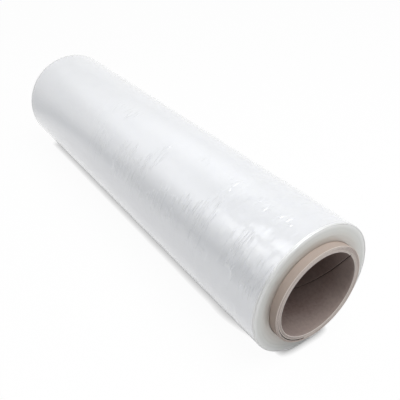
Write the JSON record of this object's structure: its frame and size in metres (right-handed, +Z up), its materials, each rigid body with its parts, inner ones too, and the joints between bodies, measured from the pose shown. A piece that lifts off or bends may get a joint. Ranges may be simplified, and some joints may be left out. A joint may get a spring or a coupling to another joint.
{
  "type": "stretch wrap roll",
  "caption": "Lying roll of clear stretch film wound tight on a spirally wound paperboard core that stands out of the film at both ends, with an open bore for a dispenser spindle",
  "frame": {"origin": "on the floor, under the middle of the roll: the bottom centre of the bounding box", "axes": "+X along the roll's axis, out of the end where a ply of the core has opened; +Y across the roll; +Z up"},
  "size_m": [0.464, 0.117, 0.1164],
  "materials": {
    "core_board": "matte kraft board, paler on the cut ends",
    "clear_film": "clear polyethylene film in many layers, milky white in the mass and glossy outside"
  },
  "bodies": {
    "root": {"core_tube": "core_board", "film_roll": "clear_film"}
  },
  "joints": []
}
